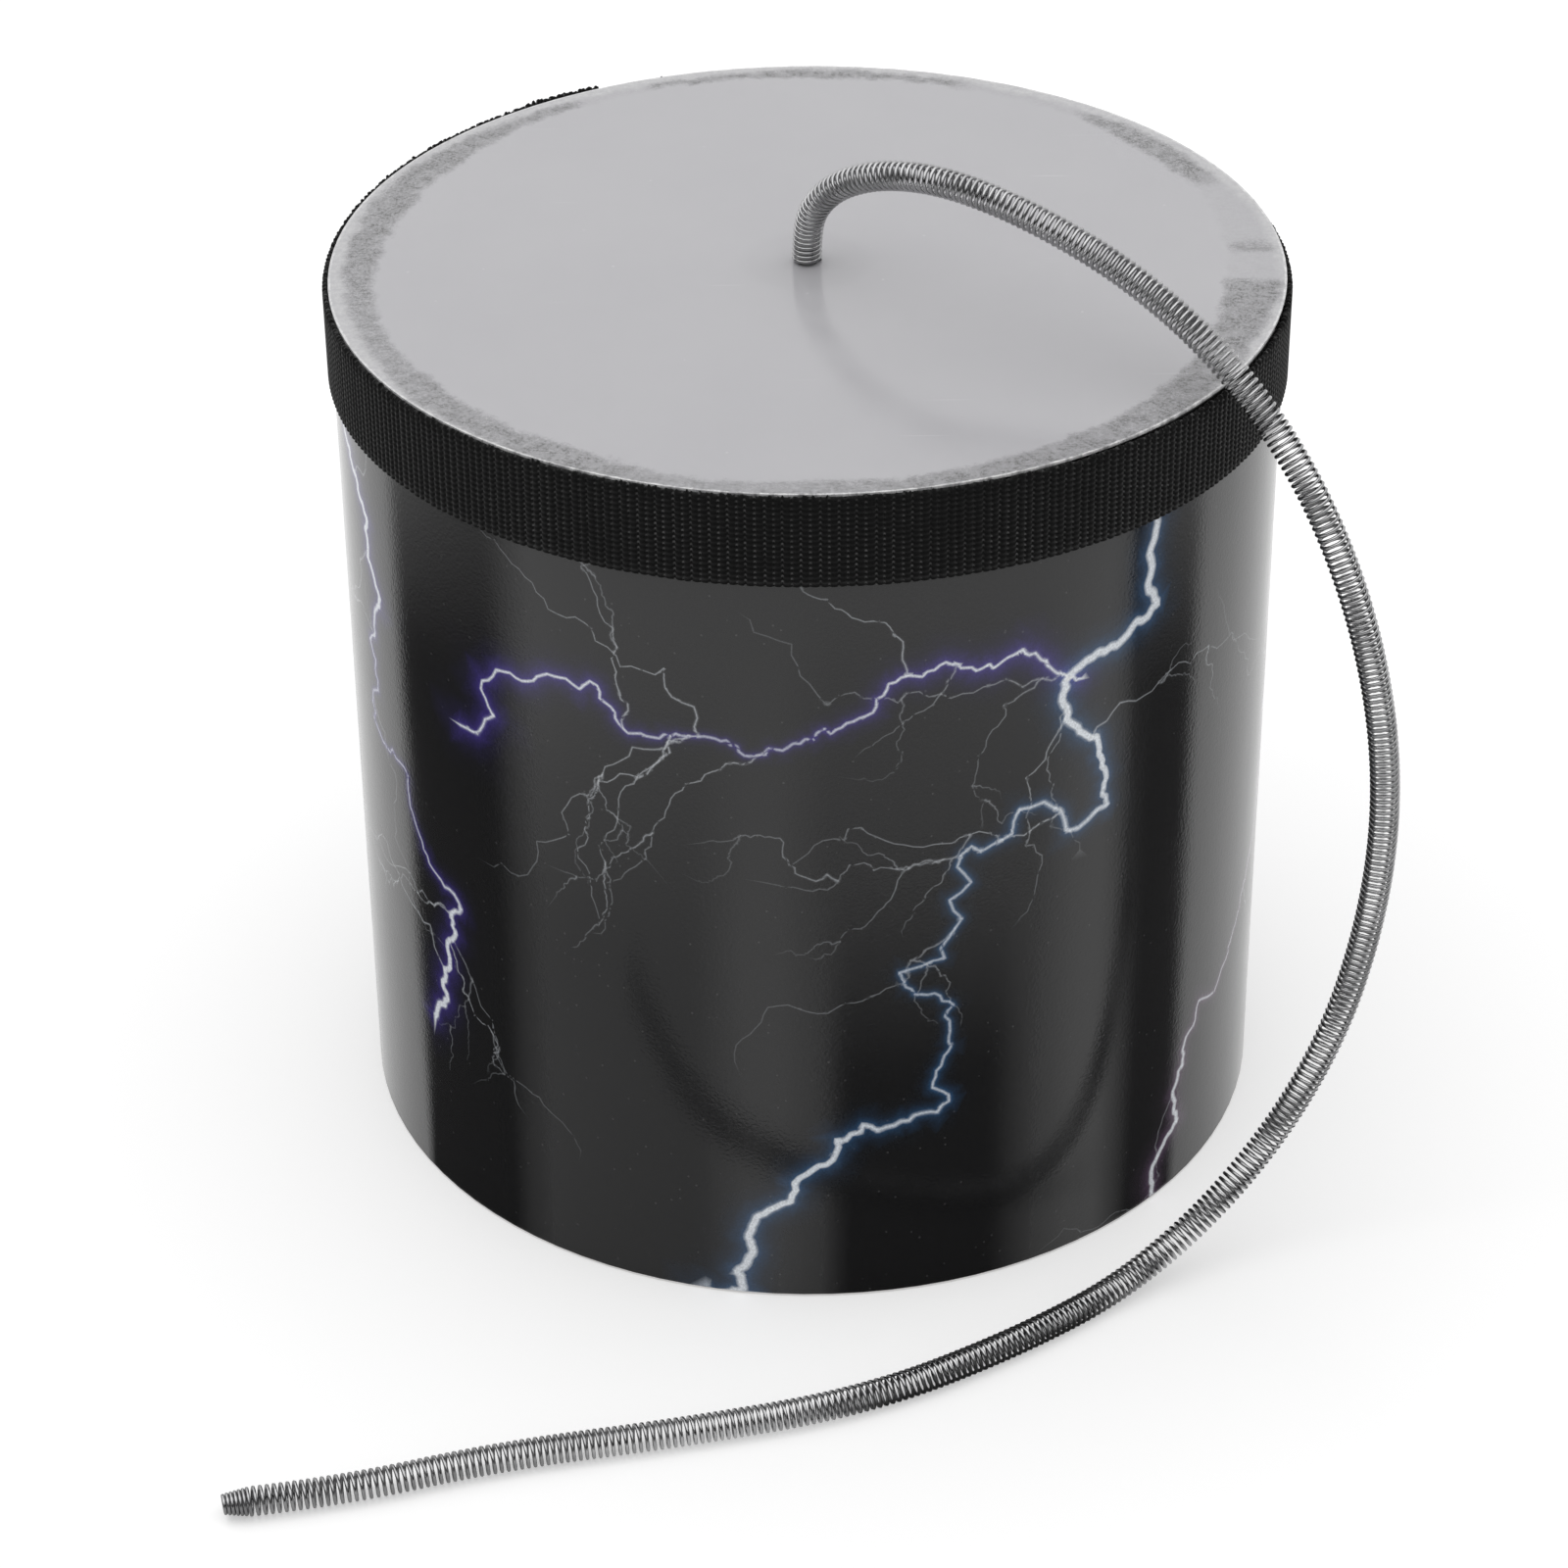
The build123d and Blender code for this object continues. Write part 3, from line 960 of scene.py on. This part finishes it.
def row_places(line, rows):
    """Places of the rows that follow a stroke."""
    run = run_along(line)
    marks = np.unique(np.concatenate([run, np.arange(0, run[-1], ROW_STEP)]))
    middle = along(line, line, marks)
    heading = unit_rows(np.gradient(middle, axis=0))
    aside = np.stack([-heading[:, 1], heading[:, 0]], axis=1)
    places = []
    for row in rows:
        skip = 1 if row < FAR_ROW else FAR_ROW_SKIP
        for sign in (1, -1) if row else (1,):
            places += [tuple(place) for place in (middle + sign * row * aside)[::skip]]
    return places


def sheet_places(strokes):
    """Places for the sheet's points: a plain grid, and rows that follow each stroke."""
    places = sheet_grid()
    for line, width, light, glow in strokes:
        places += row_places(line, TWIG_ROWS if glow is None else BOLT_ROWS)
    places = np.array(places)
    inside = (places[:, 0] >= 0) & (places[:, 0] <= SHEET_WIDTH)
    inside &= (places[:, 1] >= SHEET_FOOT) & (places[:, 1] <= SHEET_TOP)
    places = places[inside]
    cells = np.round(places / LEAST_GAP)
    _, first = np.unique(cells, axis=0, return_index=True)
    return places[np.sort(first)]


def triangulated(places):
    """Points and triangles of a flat mesh on these places."""
    found = delaunay_2d_cdt([Vector(place) for place in places], [], [], 0, SAME_PLACE)
    return np.array([place[:] for place in found[0]]), [tuple(face) for face in found[2]]


def rolled(places, radius):
    """Points of the sheet's places on a cylinder, and the directions outwards there."""
    angle = math.radians(SEAM_ANGLE) + (SEAM_GAP / 2 + places[:, 0] * MM) / SHEET_RADIUS
    out = np.stack([np.cos(angle), np.sin(angle), 0 * angle], axis=1)
    return out * radius + np.array([0, 0, MM]) * places[:, 1:], out


def open_sides(triangles):
    """Sides that only one triangle has."""
    sides = {side for face in triangles for side in zip(face, face[1:] + face[:1])}
    return sorted((start, end) for start, end in sides if (end, start) not in sides)


def sheet_back(front, border):
    """Places and triangles of the sheet's plain back: its border is the front's, and comes first."""
    inner = [place for place in sheet_grid()
             if 0 < place[0] < SHEET_WIDTH and SHEET_FOOT < place[1] < SHEET_TOP]
    return triangulated(np.concatenate([front[border], inner]))


def sheet_faces(triangles, back_triangles, rim, count):
    """Faces of the sheet's front, of its back, whose points follow the front's, and of its cut edges."""
    behind = {start: count + order for order, (start, end) in enumerate(rim)}
    faces = triangles + [tuple(index + count for index in reversed(face)) for face in back_triangles]
    return faces + [(end, start, behind[start], behind[end]) for start, end in rim]


def make_sheet():
    """Glossy printed sheet round the tube: a mesh whose printed face is fine and carries the ink."""
    strokes = lightning()
    front, triangles = triangulated(sheet_places(strokes))
    rim = open_sides(triangles)
    back, back_triangles = sheet_back(front, [start for start, end in rim])
    outer, outward = rolled(front, SHEET_RADIUS)
    inner, back_outward = rolled(back, SHEET_RADIUS - SHEET_THICKNESS)
    faces = sheet_faces(triangles, back_triangles, rim, len(front))
    piece = mesh_piece("wrap_print", np.concatenate([outer, inner]), faces, printed_gloss(), "drum")

    ink = piece.data.attributes.new("ink", "FLOAT_COLOR", "POINT")
    colours = np.concatenate([ink_on(front, strokes), np.full((len(back), 3), PAPER_WHITE)])
    opaque = np.ones((len(colours), 1))
    ink.data.foreach_set("color", np.concatenate([colours, opaque], axis=1).ravel())
    normals = np.concatenate([outward, -back_outward])
    piece.data.normals_split_custom_set_from_vertices([tuple(normal) for normal in normals])
    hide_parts("printed_sheet")


# Stage, light and camera

# Strength of the white world and of the far floor as a light. Both are plain white to the camera.
WORLD_LIGHT = 0.5
FAR_FLOOR_LIGHT = 0.4

# Floor: its colour near the tube, what is added there for the camera, the distances over which it turns
# plain white, and the radius of its hole and of all of it
FLOOR_COLOUR = (*grey(0.75), 1)
FLOOR_LIFT = 0.38
FLOOR_FADE = (0.35, 1.0)
FLOOR_HOLE = 62.4 * MM
FLOOR_SIZE = 8.0
FLOOR_STEPS = 96

# Dark cards on the floor that only reflections show, which paint shade into the tube's reflection of the
# floor:
# the stretch of the tube that shows each, in degrees to the right of the camera's side, how wide its two
# edges fade, how far out it reaches, and how dark it is
FLOOR_SHADE_CARDS = [
    (-59, -34, 2.0, 6.0, 0.30, 0.95),
    (-42, -8, 6.0, 6.0, 0.16, 0.45),
    (1, 28, 3.0, 6.0, 0.10, 0.90),
    (-4, 33, 6.0, 6.0, 0.20, 0.35),
    (37, 53, 6.0, 2.0, 0.28, 0.92),
]
CARD_STEPS = 24
CARD_HEIGHT = 0.05 * MM

# Dark curtain that only reflections show, over these degrees to the right of the camera's side
CURTAIN_SPAN = (-118, 104)
CURTAIN_STEPS = 60
CURTAIN_RADIUS = 1.3
CURTAIN_HEIGHT = 0.9

# Rows of points of a card and of the curtain: shares of its reach or height, and of its darkness there
CARD_ROWS = [(0.002, 1), (0.5, 1), (1, 0)]
CURTAIN_ROWS = [(0, 1), (0.85, 1), (1, 0)]

# Lamp
OVERHEAD_PLACE = (-0.08, 0.05, 1.2)
OVERHEAD_AIM = (0, 0, 0.08)
OVERHEAD_SIZE = 2.2
OVERHEAD_WATTS = 14.5


def whitened(tree, strength, plain):
    """Strength of an emission: full for what the camera, mirrors and glass see, plain for the rest."""
    path = node(tree, "LightPath").outputs
    seen = maths(tree, "MAXIMUM", path["Is Camera Ray"], path["Is Glossy Ray"])
    seen = maths(tree, "MAXIMUM", seen, path["Is Transmission Ray"])
    return spread(tree, seen, 0, 1, plain, strength)


def make_world():
    """White all round, dimmer as a light than as a background."""
    world = bpy.data.worlds.new("studio")
    world.use_nodes = True
    tree = world.node_tree
    shade = tree.nodes["Background"]
    shade.inputs["Color"].default_value = (1, 1, 1, 1)
    tree.links.new(whitened(tree, 1.0, WORLD_LIGHT), shade.inputs["Strength"])
    bpy.context.scene.world = world


def bare_material(name):
    """A material without a shader, its nodes, and the socket that takes what it shows."""
    material = bpy.data.materials.new(name)
    material.use_nodes = True
    tree = material.node_tree
    tree.nodes.remove(tree.nodes["Principled BSDF"])
    return material, tree, tree.nodes["Material Output"].inputs["Surface"]


def shader_mix(tree, share, first, second):
    """Output of a shader mix: first where share is 0, second where it is 1."""
    made = node(tree, "MixShader", Fac=share)
    tree.links.new(first, made.inputs[1])
    tree.links.new(second, made.inputs[2])
    return made.outputs[0]


def floor_white():
    """Matt white, plain white far off, and nothing at all when seen from below."""
    material, tree, surface = bare_material("floor_white")
    matt = node(tree, "BsdfDiffuse", Color=FLOOR_COLOUR)
    lift = node(tree, "Emission", Strength=whitened(tree, FLOOR_LIFT, 0))
    near = node(tree, "AddShader")
    tree.links.new(matt.outputs[0], near.inputs[0])
    tree.links.new(lift.outputs[0], near.inputs[1])
    far = node(tree, "Emission", Strength=whitened(tree, 1.0, FAR_FLOOR_LIGHT))
    place = node(tree, "TexCoord").outputs["Object"]
    radius = vector_maths(tree, "LENGTH", place).outputs["Value"]
    away = spread(tree, radius, *FLOOR_FADE, smooth=True)
    above = shader_mix(tree, away, near.outputs[0], far.outputs[0])
    under = node(tree, "NewGeometry").outputs["Backfacing"]
    clear = node(tree, "BsdfTransparent").outputs[0]
    tree.links.new(shader_mix(tree, under, above, clear), surface)
    return material


def from_camera_side(degrees, radius, height=0.0):
    """A place round the tube's axis, turned to the right from the camera's side."""
    x, y = cos_sin(degrees - 90)
    return Vector((radius * x, radius * y, height))


def make_floor():
    """Plain white floor that keeps the shadow. The tube covers a hole in it, which lights its inside."""
    points, faces = [], []
    for step in range(FLOOR_STEPS):
        degrees = 360 * step / FLOOR_STEPS
        points += [from_camera_side(degrees, FLOOR_HOLE), from_camera_side(degrees, FLOOR_SIZE)]
        first = 2 * step
        following = 2 * ((step + 1) % FLOOR_STEPS)
        faces.append((first, first + 1, following + 1, following))
    floor = mesh_object("floor", points, faces, floor_white())


def card_black(name):
    """Black, as far as the mesh says at each of its points, and clear for the rest."""
    material, tree, surface = bare_material(name)
    clear = node(tree, "BsdfTransparent").outputs[0]
    black = node(tree, "Emission", Strength=0).outputs[0]
    tree.links.new(shader_mix(tree, attribute(tree, "shown")["Fac"], clear, black), surface)
    return material


def grid_faces(rows, width):
    """Faces of a grid of points that are listed row by row."""
    faces = []
    for row in range(rows - 1):
        for step in range(width - 1):
            first = row * width + step
            faces.append((first, first + 1, first + width + 1, first + width))
    return faces


def only_in_mirrors(name, rows, darkness):
    """A dark card of the studio that nothing but a reflection shows, as dark as each point says."""
    points = [point for row in rows for point in row]
    shade_card = mesh_object(name, points, grid_faces(len(rows), len(rows[0])), card_black(name))
    shown = shade_card.data.attributes.new("shown", "FLOAT", "POINT")
    shown.data.foreach_set("value", darkness)
    shade_card.visible_camera = False
    shade_card.visible_diffuse = False
    shade_card.visible_transmission = False
    shade_card.visible_shadow = False


def mirrored(foot):
    """Direction on the floor in which the tube's wall above a place at its foot mirrors the camera."""
    out = foot.normalized()
    sight = (foot - Vector((*CAMERA_PLACE[:2], 0))).normalized()
    return sight - 2 * sight.dot(out) * out


def even_steps(start, end, steps):
    """Numbers from start to end, in even steps."""
    return [start + (end - start) * step / steps for step in range(steps + 1)]


def make_shade_cards():
    """Dark cards on the floor that paint shade into reflections of it, one a little above the other."""
    # Each card paints shade where the tube's wall reflects the floor.
    for number, (start, end, left, right, reach, dark) in enumerate(FLOOR_SHADE_CARDS):
        lift = Vector((0, 0, CARD_HEIGHT * (number + 1)))
        angles = even_steps(start, end, CARD_STEPS)
        sides = [dark * min(1, (angle - start) / left, (end - angle) / right) for angle in angles]
        feet = [from_camera_side(angle, SHEET_RADIUS) for angle in angles]
        rows, darkness = [], []
        for share, kept in CARD_ROWS:
            rows.append([foot + mirrored(foot) * reach * share + lift for foot in feet])
            darkness += [side * kept for side in sides]
        only_in_mirrors(f"card_{number}", rows, darkness)


def make_curtain():
    """Dark curtain round the camera's side of the studio."""
    angles = even_steps(*CURTAIN_SPAN, CURTAIN_STEPS)
    rows, darkness = [], []
    for share, kept in CURTAIN_ROWS:
        rows.append([from_camera_side(angle, CURTAIN_RADIUS, CURTAIN_HEIGHT * share) for angle in angles])
        darkness += [kept] * len(angles)
    only_in_mirrors("curtain", rows, darkness)


def make_lamp():
    """A square soft light overhead."""
    lamp = bpy.data.lights.new("overhead", "AREA")
    lamp.size = OVERHEAD_SIZE
    lamp.energy = OVERHEAD_WATTS
    light = bpy.data.objects.new("overhead", lamp)
    light.location = OVERHEAD_PLACE
    sight = Vector(OVERHEAD_AIM) - Vector(OVERHEAD_PLACE)
    light.rotation_euler = sight.to_track_quat("-Z", "Y").to_euler()
    bpy.context.collection.objects.link(light)


def turn_about(axis, degrees):
    """Matrix of a turn about an axis."""
    return Matrix.Rotation(math.radians(degrees), 4, axis)


def make_camera():
    """The photograph's viewpoint."""
    data = bpy.data.cameras.new("camera")
    data.lens = CAMERA_LENS
    data.sensor_width = CAMERA_SENSOR
    data.clip_start = CAMERA_NEAR
    camera = bpy.data.objects.new("camera", data)
    aim = turn_about("Z", -CAMERA_YAW) @ turn_about("X", 90 - CAMERA_PITCH) @ turn_about("Z", CAMERA_ROLL)
    camera.matrix_world = Matrix.Translation(CAMERA_PLACE) @ aim
    bpy.context.collection.objects.link(camera)
    bpy.context.scene.camera = camera


make_spring()
make_ribbon()
make_sheet()
dress("drum_head", film())
dress("tube_core", kraft_card())
dress("head_glue", dry_glue())
dress("anchor_pad", grey_felt())
steel = zinc_steel()
dress("anchor_washer", steel)
dress("anchor_screw", steel)

make_world()
make_floor()
make_shade_cards()
make_curtain()
make_lamp()
make_camera()
bpy.context.scene.view_settings.view_transform = "Standard"
